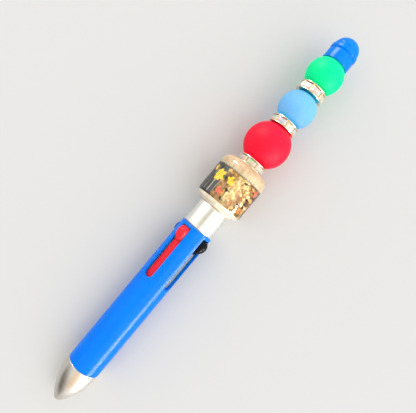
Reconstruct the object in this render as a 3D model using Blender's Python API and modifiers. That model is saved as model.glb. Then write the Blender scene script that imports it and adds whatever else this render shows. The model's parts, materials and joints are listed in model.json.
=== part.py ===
"""A four-colour click pen whose rear end is a rod strung with beads.

The pen is modelled along its own axis, local +X from the writing tip to the end cap, under one
empty that lays it on the floor as it rests: on the barrel's front edge and the resin bead's edge.
Metres, +Z up.
"""
import math

import bmesh
import bpy
from mathutils import Matrix, Vector

MM = 0.001
GAP = 0.3 * MM          # left between pieces that touch
TOUCH = 0.06 * MM       # left on each side of a joint between strung pieces

SEGMENTS = 32           # around the large turned pieces
BAND_SEGMENTS = 24      # around a rondelle
SMALL_SEGMENTS = 12     # around the refills and the rod
HALF_FACET = math.pi / SEGMENTS

# Places along the pen axis, measured from the nose's front end.
BARREL_FRONT = 13.2 * MM
SLOT_FRONT = 47.9 * MM
SLOT_REAR = 67.4 * MM
BARREL_REAR = 68.4 * MM
RESIN_FRONT = 76.7 * MM
RESIN_REAR = 93.2 * MM
RED_FRONT = 95.9 * MM
RED_REAR = 108.95 * MM
BLUE_FRONT = 111.7 * MM
BLUE_REAR = 122.15 * MM
GREEN_FRONT = 125.2 * MM
GREEN_REAR = 135.6 * MM
CAP_FRONT = 134.75 * MM
CAP_RING_FRONT = 138.7 * MM
CAP_RING_REAR = 140.6 * MM
CAP_END = 144.5 * MM

# Radii.
BARREL_R = 5.6 * MM
BARREL_BORE_R = 4.6 * MM
SPIGOT_R = 4.3 * MM
SPIGOT_BORE_R = 3.95 * MM
NOSE_END_R = 1.25 * MM
NOSE_REAR_R = 5.5 * MM
NOSE_HOLE_R = 0.95 * MM
NOSE_CURVE = 2.4        # how full the ogive is: 1 is a cone
NOSE_WALL = 0.8 * MM
COLLAR_R = 5.32 * MM
COLLAR_WALL = 0.55 * MM
COLLAR_END_WALL = 0.45 * MM
ROD_R = 1.15 * MM
ROD_CLEARANCE = 0.15 * MM   # between the rod and the holes that it is screwed into
BEAD_BORE_R = 1.45 * MM
RESIN_R = 8.2 * MM
RED_R = 7.5 * MM
SMALL_BEAD_R = 6.05 * MM
RONDELLE_R = 4.7 * MM
CAP_R = 4.55 * MM
CAP_RING_R = 4.65 * MM
CAP_DOME_R = 4.15 * MM
CAP_SEAT_R = 3.05 * MM   # where the cap's hollow front face turns flat

SPIGOT_LENGTH = 3.0 * MM
RESIN_CHAMFER = 2.4 * MM
RESIN_FACE_R = 5.2 * MM
RESIN_BROW_R = 7.3 * MM
RESIN_SHOULDER = 2.6 * MM

# Slots, sliders and refills, one of each for every colour.
SLOT_WIDTH = 3.5 * MM
STEM_WIDTH = 2.9 * MM
STEM_INNER = 2.3 * MM
STEM_OUTER = 4.15 * MM
STEM_FRONT = 45.2 * MM
SHOULDER_LENGTH = 1.0 * MM   # of the disc in front of the stem that the spring pushes on
KNOB_FRONT = 61.7 * MM
KNOB_PEAK = 65.0 * MM
KNOB_REAR = 67.1 * MM
KNOB_WIDTH = 3.2 * MM
KNOB_TOP = 7.0 * MM
REFILL_OFFSET = 2.75 * MM   # of each refill's axis from the pen's axis
REFILL_R = 1.1 * MM
REFILL_BORE_R = 0.75 * MM
REFILL_TIP = 9.2 * MM
POINT_LENGTH = 8.0 * MM
PEG_R = 0.6 * MM
PEG_LENGTH = 4.0 * MM
SPRING_R = 1.43 * MM        # of the wire's centre line
SPRING_WIRE_R = 0.16 * MM
SPRING_TURNS = 7
SPRING_POINTS = 8           # for each turn
SEAT_FRONT = 27.0 * MM
SEAT_REAR = 28.8 * MM
SEAT_HOLE_R = 1.45 * MM
SEAT_HOLE_SHIFT = 0.2 * MM  # towards the pen axis, where the refills swing to
GUIDE_REAR = 76.0 * MM

RED_ANGLE = 33.0            # degrees from straight up towards +Y, about the pen axis
COLOURS = ("red", "blue", "green", "black")
STONES = 8                  # in each rondelle
STONE_WIDTH = 3.3 * MM
STONE_GAP = 0.08 * MM       # between a stone and the flange on each side
STONE_SETTING = 0.15 * MM   # how far the stones sit below the rims
FLANGE = 0.38 * MM
HUB_R = 2.3 * MM

# Each material's linear base colour, roughness and metallic value.
PAINT = {
    "nose_metal": ((0.62, 0.59, 0.53), 0.3, 1.0),
    "barrel_plastic": ((0.0, 0.23, 0.97), 0.18, 0.0),
    "red_plastic": ((0.93, 0.02, 0.06), 0.3, 0.0),
    "blue_plastic": ((0.0, 0.12, 0.5), 0.3, 0.0),
    "green_plastic": ((0.0, 0.32, 0.1), 0.3, 0.0),
    "black_plastic": ((0.01, 0.01, 0.015), 0.25, 0.0),
    "guide_plastic": ((0.75, 0.75, 0.72), 0.45, 0.0),
    "collar_metal": ((0.76, 0.75, 0.71), 0.28, 1.0),
    "steel": ((0.6, 0.6, 0.6), 0.25, 1.0),
    "refill_plastic": ((0.8, 0.82, 0.82), 0.35, 0.0),
    "point_metal": ((0.72, 0.6, 0.35), 0.25, 1.0),
    "resin": ((0.85, 0.72, 0.42), 0.08, 0.0),
    "rondelle_metal": ((0.8, 0.68, 0.45), 0.25, 1.0),
    "stone_glass": ((0.85, 0.85, 0.9), 0.05, 0.0),
    "red_silicone": ((0.95, 0.02, 0.07), 0.55, 0.0),
    "light_blue_silicone": ((0.2, 0.5, 1.0), 0.55, 0.0),
    "green_silicone": ((0.0, 0.85, 0.3), 0.55, 0.0),
    "cap_plastic": ((0.0, 0.23, 0.97), 0.2, 0.0),
}

parts = None
cutters = None
pen = None


def clear_scene():
    for thing in list(bpy.data.objects):
        bpy.data.objects.remove(thing, do_unlink=True)


def make_collections():
    global parts, cutters
    parts = bpy.data.collections.new("multicolor_click_pen")
    cutters = bpy.data.collections.new("cutters")
    bpy.context.scene.collection.children.link(parts)
    bpy.context.scene.collection.children.link(cutters)


def paint(thing, name):
    """Give an object its material, made the first time that it is asked for."""
    material = bpy.data.materials.get(name)
    if material is None:
        colour, roughness, metallic = PAINT[name]
        material = bpy.data.materials.new(name)
        material.use_nodes = True
        shader = material.node_tree.nodes["Principled BSDF"]
        shader.inputs["Base Color"].default_value = (*colour, 1.0)
        shader.inputs["Roughness"].default_value = roughness
        shader.inputs["Metallic"].default_value = metallic
    thing.data.materials.clear()
    thing.data.materials.append(material)


def add_part(name, data, material, at=(0, 0, 0), turned=0.0):
    """A part under the pen's empty: `turned` is its angle about the pen axis, in radians."""
    thing = bpy.data.objects.new(name, data)
    parts.objects.link(thing)
    thing.parent = pen
    thing.location = at
    thing.rotation_euler = (turned, 0, 0)
    paint(thing, material)
    return thing


def add_cutter(name, data, at=(0, 0, 0), turned=0.0):
    thing = bpy.data.objects.new(name, data)
    cutters.objects.link(thing)
    thing.parent = pen
    thing.location = at
    thing.rotation_euler = (turned, 0, 0)
    thing.hide_render = True
    thing.display_type = "WIRE"
    return thing


def add_turned(name, outline, material, segments=SEGMENTS, at=(0, 0, 0), turned=0.0):
    """A part turned about local X from a closed outline of (place along the axis, radius).

    The outline runs from the front to the rear along the outside, then back along the inside,
    so the Screw's faces are flipped to point out. It is laid half a facet round, so that a flat
    facet faces straight down. Its stretch on the axis, where it has one, is left out.
    """
    lean = math.pi / segments
    shape = bmesh.new()
    ring = [shape.verts.new((x, -r * math.sin(lean), -r * math.cos(lean))) for x, r in outline]
    places = list(zip(outline, ring))
    for (start, first), (stop, second) in zip(places, places[1:] + places[:1]):
        if max(start[1], stop[1]) > 0:
            shape.edges.new((first, second))
    mesh = bpy.data.meshes.new(name)
    shape.to_mesh(mesh)
    shape.free()
    thing = add_part(name, mesh, material, at, turned)
    turn = thing.modifiers.new("turn", "SCREW")
    turn.axis = "X"
    turn.angle = 2 * math.pi
    turn.screw_offset = 0.0
    turn.steps = segments
    turn.render_steps = segments
    turn.use_merge_vertices = True
    turn.merge_threshold = 0.000001
    turn.use_smooth_shade = True
    turn.use_normal_flip = True
    return thing


def finish_mesh(name, shape, smooth_angle=35.0):
    mesh = bpy.data.meshes.new(name)
    shape.to_mesh(mesh)
    shape.free()
    mesh.shade_smooth()
    mesh.set_sharp_from_angle(angle=math.radians(smooth_angle))
    return mesh


def arc(centre_x, centre_r, radius, start, stop, steps):
    """Points of an arc in the (place, radius) plane, angles in degrees from the +radius side."""
    points = []
    for i in range(steps + 1):
        angle = math.radians(start + (stop - start) * i / steps)
        points.append((centre_x + radius * math.sin(angle), centre_r + radius * math.cos(angle)))
    return points


def box_mesh(name, low, high):
    shape = bmesh.new()
    bmesh.ops.create_cube(shape, size=1.0)
    for v in shape.verts:
        v.co = Vector([lo + (c + 0.5) * (hi - lo) for c, lo, hi in zip(v.co, low, high)])
    return finish_mesh(name, shape)


def rod_mesh(name, front, rear, radius, segments=SMALL_SEGMENTS):
    """A plain solid cylinder along local X."""
    shape = bmesh.new()
    along = Matrix.Translation(((front + rear) / 2, 0, 0)) @ Matrix.Rotation(math.pi / 2, 4, "Y")
    bmesh.ops.create_cone(
        shape,
        cap_ends=True,
        segments=segments,
        radius1=radius,
        radius2=radius,
        depth=rear - front,
        matrix=along,
    )
    return finish_mesh(name, shape)


def cut(thing, cutter):
    step = thing.modifiers.new("cut_" + cutter.name, "BOOLEAN")
    step.operation = "DIFFERENCE"
    step.solver = "EXACT"
    step.object = cutter


def join(thing, piece):
    step = thing.modifiers.new("join_" + piece.name, "BOOLEAN")
    step.operation = "UNION"
    step.solver = "EXACT"
    step.object = piece


def colour_angle(index):
    """The angle of a colour's slot about the pen axis: the four are a quarter turn apart."""
    return math.radians(RED_ANGLE + 90.0 * index)


def turn_for(angle):
    """The X rotation that carries local +Z to `angle` from straight up towards +Y."""
    return -angle


def lay_pen():
    """Tilt the pen on to its two lowest edges and centre it over the origin."""
    global pen
    flat = math.cos(HALF_FACET)
    rest_front = BARREL_FRONT + GAP
    rest_rear = RESIN_FRONT + RESIN_CHAMFER
    tilt = math.atan((RESIN_R - BARREL_R) * flat / (rest_rear - rest_front))
    foremost = -NOSE_END_R * flat * math.sin(tilt)
    rearmost = CAP_END * math.cos(tilt)
    pen = bpy.data.objects.new("pen_axis", None)
    bpy.context.scene.collection.objects.link(pen)
    pen.rotation_euler = (0, -tilt, 0)
    height = BARREL_R * flat * math.cos(tilt) - rest_front * math.sin(tilt)
    pen.location = (-(foremost + rearmost) / 2, 0, height)


def nose_radius(x):
    """The ogive's outer radius, from the small end disc to the barrel."""
    fullness = 1 - (1 - x / BARREL_FRONT) ** NOSE_CURVE
    return NOSE_END_R + (NOSE_REAR_R - NOSE_END_R) * fullness


def make_nose_cone():
    steps = 10
    rear = BARREL_FRONT
    outside = []
    for i in range(steps + 1):
        x = rear * (i / steps) ** 1.2
        outside.append((x, nose_radius(x)))
    socket_front = BARREL_FRONT - SPIGOT_LENGTH - GAP
    socket_r = SPIGOT_R + 0.15 * MM
    inside = [(rear, socket_r), (socket_front, socket_r)]
    for x in (socket_front, 7.0 * MM, 4.5 * MM, 2.6 * MM):
        inside.append((x, min(nose_radius(x) - NOSE_WALL, SPIGOT_BORE_R)))
    inside += [(1.0 * MM, NOSE_HOLE_R), (0.0, NOSE_HOLE_R)]
    add_turned("nose_cone", outside + inside, "nose_metal")


def make_barrel():
    front = BARREL_FRONT + GAP
    spigot = front - SPIGOT_LENGTH
    outline = [
        (spigot, SPIGOT_R - 0.25 * MM),
        (spigot + 0.3 * MM, SPIGOT_R),
        (front, SPIGOT_R),
        (front, BARREL_R),
        (BARREL_REAR - 0.25 * MM, BARREL_R),
        (BARREL_REAR, BARREL_R - 0.25 * MM),
        (BARREL_REAR, BARREL_BORE_R),
        (front + 1.5 * MM, BARREL_BORE_R),
        (front + 0.6 * MM, SPIGOT_BORE_R),
        (spigot, SPIGOT_BORE_R),
    ]
    barrel = add_turned("barrel", outline, "barrel_plastic")
    for i, colour in enumerate(COLOURS):
        name = "slot_cutter_" + colour
        cut(barrel, add_cutter(name, slot_mesh(name), turned=turn_for(colour_angle(i))))


def slot_mesh(name):
    """A slot's cutter: a bar with a round front end, upright along local +Z."""
    half = SLOT_WIDTH / 2
    shape = bmesh.new()
    outline = [(SLOT_REAR, -half), (SLOT_REAR, half)]
    steps = 8
    for i in range(steps + 1):
        angle = math.radians(90 + 180 * i / steps)
        outline.append((SLOT_FRONT + half + half * math.cos(angle), half * math.sin(angle)))
    base = [shape.verts.new((x, y, 3.0 * MM)) for x, y in outline]
    face = shape.faces.new(base)
    grown = bmesh.ops.extrude_face_region(shape, geom=[face])
    tops = [g for g in grown["geom"] if isinstance(g, bmesh.types.BMVert)]
    bmesh.ops.translate(shape, verts=tops, vec=(0, 0, 6.0 * MM))
    bmesh.ops.recalc_face_normals(shape, faces=shape.faces)
    return finish_mesh(name, shape)


def knob_section(x):
    """The slider knob's height above the stem and half width at a place along the slot."""
    if x <= KNOB_PEAK:
        share = (x - KNOB_FRONT) / (KNOB_PEAK - KNOB_FRONT)
        height = math.sin(share * math.pi / 2) ** 0.8
        width = 0.25 + 0.75 * math.sin(share * math.pi / 2) ** 0.6
    else:
        share = (x - KNOB_PEAK) / (KNOB_REAR - KNOB_PEAK)
        height = math.sqrt(max(0.0, 1.0 - 0.75 * share ** 2.2))
        width = 1.0 - 0.12 * share ** 2
    return height, width


def knob_mesh(name):
    """A thumb knob lofted along the slot: pointed in front, round across, steep behind."""
    shape = bmesh.new()
    rings = []
    stations = 9
    foot = STEM_OUTER - 0.35 * MM
    for i in range(stations):
        x = KNOB_FRONT + (KNOB_REAR - KNOB_FRONT) * i / (stations - 1)
        height, width = knob_section(x)
        top = foot + 0.5 * MM + (KNOB_TOP - foot - 0.5 * MM) * height
        half = KNOB_WIDTH / 2 * width
        crown = min(half, top - foot) * 0.9
        ring = [(half, foot)]
        for k in range(7):
            angle = math.pi * k / 6
            ring.append((half * math.cos(angle), top - crown + crown * math.sin(angle)))
        ring.append((-half, foot))
        rings.append([shape.verts.new((x, y, z)) for y, z in ring])
    for first, second in zip(rings, rings[1:]):
        for k in range(len(first)):
            following = (k + 1) % len(first)
            shape.faces.new((first[k], first[following], second[following], second[k]))
    shape.faces.new(rings[0])
    shape.faces.new(list(reversed(rings[-1])))
    bmesh.ops.recalc_face_normals(shape, faces=shape.faces)
    return finish_mesh(name, shape)


def make_slider(index, colour):
    """A slider: stem, knob and the peg that the refill's rear end is pushed on to."""
    turn = turn_for(colour_angle(index))
    name = "slider_" + colour
    half = STEM_WIDTH / 2
    stem = box_mesh(name, (STEM_FRONT, -half, STEM_INNER), (KNOB_REAR, half, STEM_OUTER))
    slider = add_part(name, stem, colour + "_plastic", turned=turn)
    knob = add_cutter("knob_" + colour, knob_mesh("knob_" + colour), turned=turn)
    peg_data = rod_mesh("peg_" + colour, STEM_FRONT - PEG_LENGTH, STEM_FRONT + 0.5 * MM, PEG_R, 8)
    peg = add_cutter("peg_" + colour, peg_data, at=offset_at(turn), turned=turn)
    shoulder_data = rod_mesh("shoulder_" + colour, STEM_FRONT - SHOULDER_LENGTH,
                             STEM_FRONT + 0.5 * MM, SPRING_R + SPRING_WIRE_R)
    shoulder = add_cutter("shoulder_" + colour, shoulder_data, at=offset_at(turn), turned=turn)
    for piece in (knob, shoulder, peg):
        join(slider, piece)


def offset_at(turn, distance=REFILL_OFFSET, place=0.0):
    """The point at `place` along the pen axis and `distance` out from it, turned about it."""
    out = Matrix.Rotation(turn, 3, "X") @ Vector((0, 0, distance))
    return (place, out.y, out.z)


def refill_rear():
    """Where refills and springs end, just short of the sliders' shoulders."""
    return STEM_FRONT - SHOULDER_LENGTH - GAP


def make_refill(index, colour):
    """A refill: an open plastic ink tube with a metal writing point in its front end."""
    turn = turn_for(colour_angle(index))
    tube_front = REFILL_TIP + POINT_LENGTH - 3.0 * MM
    seat = REFILL_TIP + POINT_LENGTH
    rear = refill_rear()
    tube = [
        (tube_front + GAP, REFILL_R),
        (rear, REFILL_R),
        (rear, REFILL_BORE_R),
        (tube_front + GAP, REFILL_BORE_R),
    ]
    add_turned("refill_tube_" + colour, tube, "refill_plastic", SMALL_SEGMENTS,
               at=offset_at(turn), turned=turn)
    neck = REFILL_BORE_R - 0.1 * MM
    point = [
        (REFILL_TIP, 0.12 * MM),
        (REFILL_TIP + 0.15 * MM, 0.33 * MM),
        (REFILL_TIP + 0.6 * MM, 0.4 * MM),
        (REFILL_TIP + 3.6 * MM, 0.8 * MM),
        (REFILL_TIP + 4.2 * MM, REFILL_R),
        (tube_front, REFILL_R),
        (tube_front, neck),
        (seat, neck),
        (seat, 0.25 * MM),
        (REFILL_TIP + 0.6 * MM, 0.12 * MM),
    ]
    add_turned("refill_point_" + colour, point, "point_metal", SMALL_SEGMENTS,
               at=offset_at(turn), turned=turn)


def make_spring(index, colour):
    """A return spring round the refill, between the spring seat and the slider's shoulder."""
    turn = turn_for(colour_angle(index))
    front = SEAT_REAR + GAP + SPRING_WIRE_R
    rear = refill_rear() - SPRING_WIRE_R
    count = SPRING_TURNS * SPRING_POINTS + 1
    curve = bpy.data.curves.new("return_spring_" + colour, "CURVE")
    curve.dimensions = "3D"
    curve.bevel_depth = SPRING_WIRE_R
    curve.bevel_resolution = 2
    curve.use_fill_caps = True
    wire = curve.splines.new("POLY")
    wire.points.add(count - 1)
    for i in range(count):
        angle = 2 * math.pi * i / SPRING_POINTS
        place = front + (rear - front) * i / (count - 1)
        point = (place, SPRING_R * math.cos(angle), SPRING_R * math.sin(angle), 1.0)
        wire.points[i].co = point
    add_part("return_spring_" + colour, curve, "steel", at=offset_at(turn), turned=turn)


def make_spring_seat():
    """A disc pressed into the barrel: the refills pass through it and the springs stand on it."""
    edge = 0.3 * MM
    radius = BARREL_BORE_R - 0.05 * MM
    outline = [
        (SEAT_FRONT, radius - edge),
        (SEAT_FRONT + edge, radius),
        (SEAT_REAR, radius),
        (SEAT_REAR, 0.0),
        (SEAT_FRONT, 0.0),
    ]
    seat = add_turned("spring_seat", outline, "guide_plastic")
    for i, colour in enumerate(COLOURS):
        turn = turn_for(colour_angle(i))
        hole_data = rod_mesh("seat_hole_" + colour, SEAT_FRONT - 1.0 * MM, SEAT_REAR + 1.0 * MM,
                             SEAT_HOLE_R, 16)
        middle = offset_at(turn, REFILL_OFFSET - SEAT_HOLE_SHIFT)
        cut(seat, add_cutter("seat_hole_" + colour, hole_data, at=middle, turned=turn))


def make_guide_core():
    """The insert that fills the barrel's rear end: a plug with fins between the sliders."""
    plug_front = KNOB_REAR + 0.5 * MM
    rim = BARREL_REAR + 0.4 * MM
    outline = [
        (plug_front, 0.0),
        (plug_front, BARREL_BORE_R - 0.1 * MM),
        (GUIDE_REAR, BARREL_BORE_R - 0.1 * MM),
        (GUIDE_REAR, ROD_R + ROD_CLEARANCE),
        (rim, ROD_R + ROD_CLEARANCE),
        (rim, 0.0),
    ]
    core = add_turned("guide_core", outline, "guide_plastic")
    for i in range(2):
        fin_data = box_mesh("guide_fin_%d" % i, (SLOT_FRONT, -4.3 * MM, -0.3 * MM),
                            (plug_front + 0.5 * MM, 4.3 * MM, 0.3 * MM))
        turn = turn_for(colour_angle(i)) + math.pi / 4
        join(core, add_cutter("guide_fin_%d" % i, fin_data, turned=turn))


def make_collar():
    """The metal sleeve between barrel and beads, closed behind but for the rod's hole."""
    front = BARREL_REAR + GAP
    rear = RESIN_FRONT - TOUCH
    outline = [
        (front, COLLAR_R),
        (rear - 0.2 * MM, COLLAR_R),
        (rear, COLLAR_R - 0.2 * MM),
        (rear, BEAD_BORE_R),
        (rear - COLLAR_END_WALL, BEAD_BORE_R),
        (rear - COLLAR_END_WALL, COLLAR_R - COLLAR_WALL),
        (front, COLLAR_R - COLLAR_WALL),
    ]
    add_turned("collar", outline, "collar_metal")


def make_bead_rod():
    """The metal rod that carries the beads, screwed into the core in front and the cap behind."""
    front = BARREL_REAR + 0.7 * MM
    rear = GREEN_REAR + 5.2 * MM
    outline = [
        (front, 0.0),
        (front, ROD_R - 0.3 * MM),
        (front + 0.3 * MM, ROD_R),
        (rear - 0.3 * MM, ROD_R),
        (rear, ROD_R - 0.3 * MM),
        (rear, 0.0),
    ]
    add_turned("bead_rod", outline, "steel", SMALL_SEGMENTS)


def make_resin_bead():
    shoulder = arc(RESIN_REAR - RESIN_SHOULDER, RESIN_R - RESIN_SHOULDER, RESIN_SHOULDER, 0, 90, 6)
    outline = [
        (RESIN_FRONT, BEAD_BORE_R),
        (RESIN_FRONT, RESIN_FACE_R),
        (RESIN_FRONT + RESIN_CHAMFER / 2, RESIN_BROW_R),
        (RESIN_FRONT + RESIN_CHAMFER, RESIN_R),
        *shoulder,
        (RESIN_REAR, BEAD_BORE_R),
    ]
    add_turned("resin_bead", outline, "resin")


def make_silicone_bead(name, front, rear, radius, material):
    """A ball with its two ends cut flat and a bore for the rod."""
    front += TOUCH
    rear -= TOUCH
    middle = (front + rear) / 2
    reach = math.degrees(math.asin((rear - front) / 2 / radius))
    ball = arc(middle, 0.0, radius, -reach, reach, 12)
    outline = [(front, BEAD_BORE_R), *ball, (rear, BEAD_BORE_R)]
    add_turned(name, outline, material)


def stone_mesh(name, length, tall):
    """A cut stone, its table up along local +Z: tapering foot, girdle and crown facets."""
    shape = bmesh.new()
    levels = (
        (0.0, 0.30, 0.62),
        (0.45, 0.40, 0.98),
        (0.75, 0.465, 1.0),
        (1.0, 0.33, 0.66),
    )
    rings = []
    for height, across, along in levels:
        x = length / 2 * along
        y = STONE_WIDTH * across
        z = tall * height
        corners = ((x, y), (-x, y), (-x, -y), (x, -y))
        rings.append([shape.verts.new((a, b, z)) for a, b in corners])
    for first, second in zip(rings, rings[1:]):
        for k in range(4):
            following = (k + 1) % 4
            shape.faces.new((first[k], first[following], second[following], second[k]))
    shape.faces.new(rings[0])
    shape.faces.new(rings[-1])
    bmesh.ops.recalc_face_normals(shape, faces=shape.faces)
    mesh = bpy.data.meshes.new(name)
    shape.to_mesh(mesh)
    shape.free()
    return mesh


def make_rondelle(number, front, rear, first_gap):
    """A metal spool with a ring of stones in its groove. `first_gap` is where two stones meet."""
    name = "rondelle_%d" % number
    front += TOUCH
    rear -= TOUCH
    bevel = 0.15 * MM
    outline = [
        (front, BEAD_BORE_R),
        (front, RONDELLE_R - bevel),
        (front + bevel, RONDELLE_R),
        (front + FLANGE, RONDELLE_R),
        (front + FLANGE, HUB_R),
        (rear - FLANGE, HUB_R),
        (rear - FLANGE, RONDELLE_R),
        (rear - bevel, RONDELLE_R),
        (rear, RONDELLE_R - bevel),
        (rear, BEAD_BORE_R),
    ]
    add_turned(name + "_band", outline, "rondelle_metal", BAND_SEGMENTS)
    foot = HUB_R + GAP
    tall = RONDELLE_R - STONE_SETTING - foot
    length = rear - front - 2 * FLANGE - 2 * STONE_GAP
    mesh = stone_mesh(name + "_stone", length, tall)
    for k in range(STONES):
        angle = math.radians(first_gap + (k + 0.5) * 360.0 / STONES)
        turn = turn_for(angle)
        place = offset_at(turn, foot, (front + rear) / 2)
        add_part("%s_stone_%d" % (name, k + 1), mesh, "stone_glass", at=place, turned=turn)


def make_end_cap():
    """The screw cap: a skirt hollowed for the last bead, a raised ring, a dome and a blind bore."""
    seat = GREEN_REAR + TOUCH
    bore = ROD_R + ROD_CLEARANCE
    dome = []
    steps = 8
    for i in range(steps + 1):
        angle = math.pi / 2 * i / steps
        x = CAP_RING_REAR + (CAP_END - CAP_RING_REAR) * math.sin(angle)
        dome.append((x, max(0.0, CAP_DOME_R * math.cos(angle))))
    dome[-1] = (CAP_END, 0.0)
    bore_rear = GREEN_REAR + 5.5 * MM
    outline = [
        (seat, bore),
        (seat, CAP_SEAT_R),
        (CAP_FRONT, CAP_R - 0.2 * MM),
        (CAP_FRONT + 0.2 * MM, CAP_R),
        (CAP_RING_FRONT - 0.25 * MM, CAP_R - 0.1 * MM),
        (CAP_RING_FRONT + 0.3 * MM, CAP_RING_R),
        (CAP_RING_REAR - 0.4 * MM, CAP_RING_R),
        *dome,
        (bore_rear, 0.0),
        (bore_rear, bore),
    ]
    add_turned("end_cap", outline, "cap_plastic")


def main():
    clear_scene()
    make_collections()
    lay_pen()
    make_nose_cone()
    make_barrel()
    for i, colour in enumerate(COLOURS):
        make_slider(i, colour)
        make_refill(i, colour)
        make_spring(i, colour)
    make_spring_seat()
    make_guide_core()
    make_collar()
    make_bead_rod()
    make_resin_bead()
    make_rondelle(1, RESIN_REAR, RED_FRONT, -18.0)
    make_silicone_bead("bead_red", RED_FRONT, RED_REAR, RED_R, "red_silicone")
    make_rondelle(2, RED_REAR, BLUE_FRONT, -2.5)
    make_silicone_bead("bead_light_blue", BLUE_FRONT, BLUE_REAR, SMALL_BEAD_R,
                       "light_blue_silicone")
    make_rondelle(3, BLUE_REAR, GREEN_FRONT, -36.5)
    make_silicone_bead("bead_green", GREEN_FRONT, GREEN_REAR, SMALL_BEAD_R, "green_silicone")
    make_end_cap()


main()
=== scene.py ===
"""The looks of the multicolor click pen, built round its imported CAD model.

Every piece is made in pen coordinates: X along the pen axis from the nose's front end to the end
cap, Y to the side, Z up. PEN places those coordinates in the row frame.
"""
import json
import math
import random

import bmesh
import bpy
from mathutils import Matrix, Vector, noise


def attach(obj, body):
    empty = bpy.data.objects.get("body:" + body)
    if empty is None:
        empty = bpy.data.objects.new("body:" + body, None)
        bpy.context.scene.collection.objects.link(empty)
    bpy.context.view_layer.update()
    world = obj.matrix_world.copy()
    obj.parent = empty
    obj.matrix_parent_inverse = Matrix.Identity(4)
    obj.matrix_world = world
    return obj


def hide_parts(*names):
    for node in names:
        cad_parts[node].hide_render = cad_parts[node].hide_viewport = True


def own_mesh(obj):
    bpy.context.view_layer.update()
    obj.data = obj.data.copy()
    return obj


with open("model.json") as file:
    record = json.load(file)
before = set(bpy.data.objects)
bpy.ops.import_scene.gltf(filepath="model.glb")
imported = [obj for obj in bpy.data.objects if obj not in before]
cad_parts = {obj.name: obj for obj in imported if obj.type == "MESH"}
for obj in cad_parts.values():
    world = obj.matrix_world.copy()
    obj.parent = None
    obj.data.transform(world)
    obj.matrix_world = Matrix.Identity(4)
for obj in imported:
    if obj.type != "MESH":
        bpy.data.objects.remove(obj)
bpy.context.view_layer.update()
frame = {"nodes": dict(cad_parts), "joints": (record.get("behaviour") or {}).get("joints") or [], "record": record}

MM = 0.001
COLOURS = ("red", "blue", "green", "black")

# Sizes that the pieces share, or that fit them to each other.
BEAD_BORE = 1.45 * MM
ROD_NECK_BORE = 1.3 * MM
NOSE_END = 1.25 * MM
NOSE_HOLE = 0.95 * MM
NOSE_MOUTH = 4.42 * MM
SPIGOT_REACH = 4.26 * MM
SPIGOT_BORE = 3.95 * MM
BARREL_BORE = 4.6 * MM
SLOT_TRIM = 0.15 * MM
RAIL_THICK = 0.5 * MM
STEM_FRONT = 45.2 * MM
PEG_REACH = 0.56 * MM
SPRING_WIRE = 0.15 * MM
SLEEVE_REACH = 1.85 * MM
SLEEVE_BORE = 1.58 * MM
LEAF_REACH = 4.8 * MM
RESIN_SHOULDER = 2.6 * MM

record = frame["record"]
joints = {j["name"]: j for j in frame["joints"]}


# ---------------------------------------------------------------- places

def pen_matrix():
    """The pen's own axes and origin, from the end cap's slide, a bead's axis and the nose face."""
    along = Vector(joints["end_cap_unscrew"]["axis"]).normalized()
    side = Vector((0, 1, 0))
    up = along.cross(side)
    on_axis = Vector(joints["resin_bead_spin"]["pos_m"])
    face = Vector(next(m for m in record["mounts"] if m["name"] == "nose_tip_face")["pos_m"])
    origin = on_axis + along * (face - on_axis).dot(along)
    matrix = Matrix((along, side, up)).transposed().to_4x4()
    matrix.translation = origin
    return matrix


PEN = pen_matrix()
TO_PEN = PEN.inverted()


def pen_points(node, turn=0.0):
    """A CAD node's corners in pen coordinates once `turn` about the pen axis is undone."""
    undo = Matrix.Rotation(-turn, 4, "X") @ TO_PEN
    return [undo @ v.co for v in frame["nodes"][node].data.vertices]


def span(node):
    """Where a CAD node starts and ends along the pen axis, and how far it reaches beside it."""
    points = pen_points(node)
    places = [p.x for p in points]
    return min(places), max(places), max(abs(p.y) for p in points)


def colour_turn(colour):
    """The turn about the pen axis that carries +Z to a colour's slot, and its refill's offset."""
    pivot = TO_PEN @ Vector(joints["aim_" + colour]["pos_m"])
    return -math.atan2(pivot.y, pivot.z), math.hypot(pivot.y, pivot.z)


def turned_span(node, turn):
    """The lowest and highest corners of the box round pen_points()."""
    places = list(zip(*pen_points(node, turn)))
    return Vector([min(row) for row in places]), Vector([max(row) for row in places])


# ---------------------------------------------------------------- mesh tools

def add_object(name, data):
    thing = bpy.data.objects.new(name, data)
    bpy.context.scene.collection.objects.link(thing)
    return thing


def evaluated_mesh(thing):
    """A copy of an object's mesh with its modifiers or bevel applied."""
    bpy.context.view_layer.update()
    graph = bpy.context.evaluated_depsgraph_get()
    return bpy.data.meshes.new_from_object(thing.evaluated_get(graph))


def place_shape(name, shape, turn):
    """An object from a bmesh in pen coordinates turned about X, its mesh set in the row frame."""
    mesh = bpy.data.meshes.new(name)
    shape.to_mesh(mesh)
    shape.free()
    mesh.transform(PEN @ Matrix.Rotation(turn, 4, "X"))
    return add_object(name, mesh)


def add_piece(name, shape, material, body, turn=0.0, sharp=32.0, replaces=None):
    """A piece from a bmesh in pen coordinates, shaded, painted and riding on its body."""
    piece = place_shape(name, shape, turn)
    mesh = piece.data
    mesh.shade_smooth()
    mesh.set_sharp_from_angle(angle=math.radians(sharp))
    mesh.materials.append(MATERIALS[material])
    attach(piece, body)
    if replaces:
        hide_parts(replaces)
    return piece


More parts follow.
